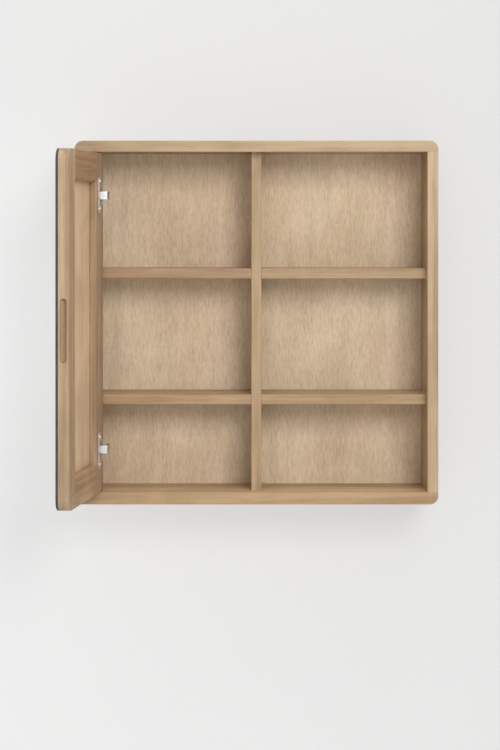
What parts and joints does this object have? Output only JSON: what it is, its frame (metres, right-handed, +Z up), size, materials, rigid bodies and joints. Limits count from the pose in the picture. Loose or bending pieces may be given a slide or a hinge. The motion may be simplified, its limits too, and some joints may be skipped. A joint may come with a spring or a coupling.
{
  "type": "mirrored wall cabinet",
  "caption": "square oak bathroom wall cabinet with a centre divider, fixed shelves and a half-width mirrored door that swings open on concealed cup hinges",
  "frame": {"origin": "on the wall plane, midway between the round openings of the two keyhole hangers", "axes": "+X to the viewer's right, +Y into the wall, +Z up"},
  "size_m": [0.6085, 0.4119, 0.6],
  "materials": {
    "oak": "clear matt lacquer",
    "oak_veneer": "clear matt lacquer, upright grain",
    "plain_wood": "raw",
    "nickel": "bright nickel plate",
    "zinc": "zinc plate",
    "mirror": "silvered on the back, polished edge",
    "tape": "foam tape"
  },
  "bodies": {
    "case": {"top_board": "oak", "bottom_board": "oak", "left_side": "oak", "right_side": "oak", "divider": "oak", "upper_left_shelf": "oak", "upper_right_shelf": "oak", "lower_left_shelf": "oak", "lower_right_shelf": "oak", "back_panel": "oak_veneer", "hanging_rail": "plain_wood", "lower_batten": "plain_wood", "case_dowels": "plain_wood", "keyhole_hangers": "zinc", "hanger_screws": "zinc", "upper_mounting_plate": "nickel", "lower_mounting_plate": "nickel", "plate_screws": "zinc", "upper_hinge_arm": "nickel", "lower_hinge_arm": "nickel", "arm_screws": "zinc"},
    "door": {"hinge_stile": "oak", "free_stile": "oak", "top_rail": "oak", "bottom_rail": "oak", "door_dowels": "plain_wood", "door_panel": "oak_veneer", "mirror": "mirror", "mirror_tape": "tape", "upper_hinge_cup": "nickel", "lower_hinge_cup": "nickel", "cup_screws": "zinc", "upper_hinge_pin": "zinc", "lower_hinge_pin": "zinc"}
  },
  "joints": [
    {"name": "door_swing", "type": "hinge", "parent": "case", "child": "door", "pos_m": [-0.2685, -0.1428, -0.255], "axis": [0, 0, 1], "range_deg": [0, 97]}
  ]
}
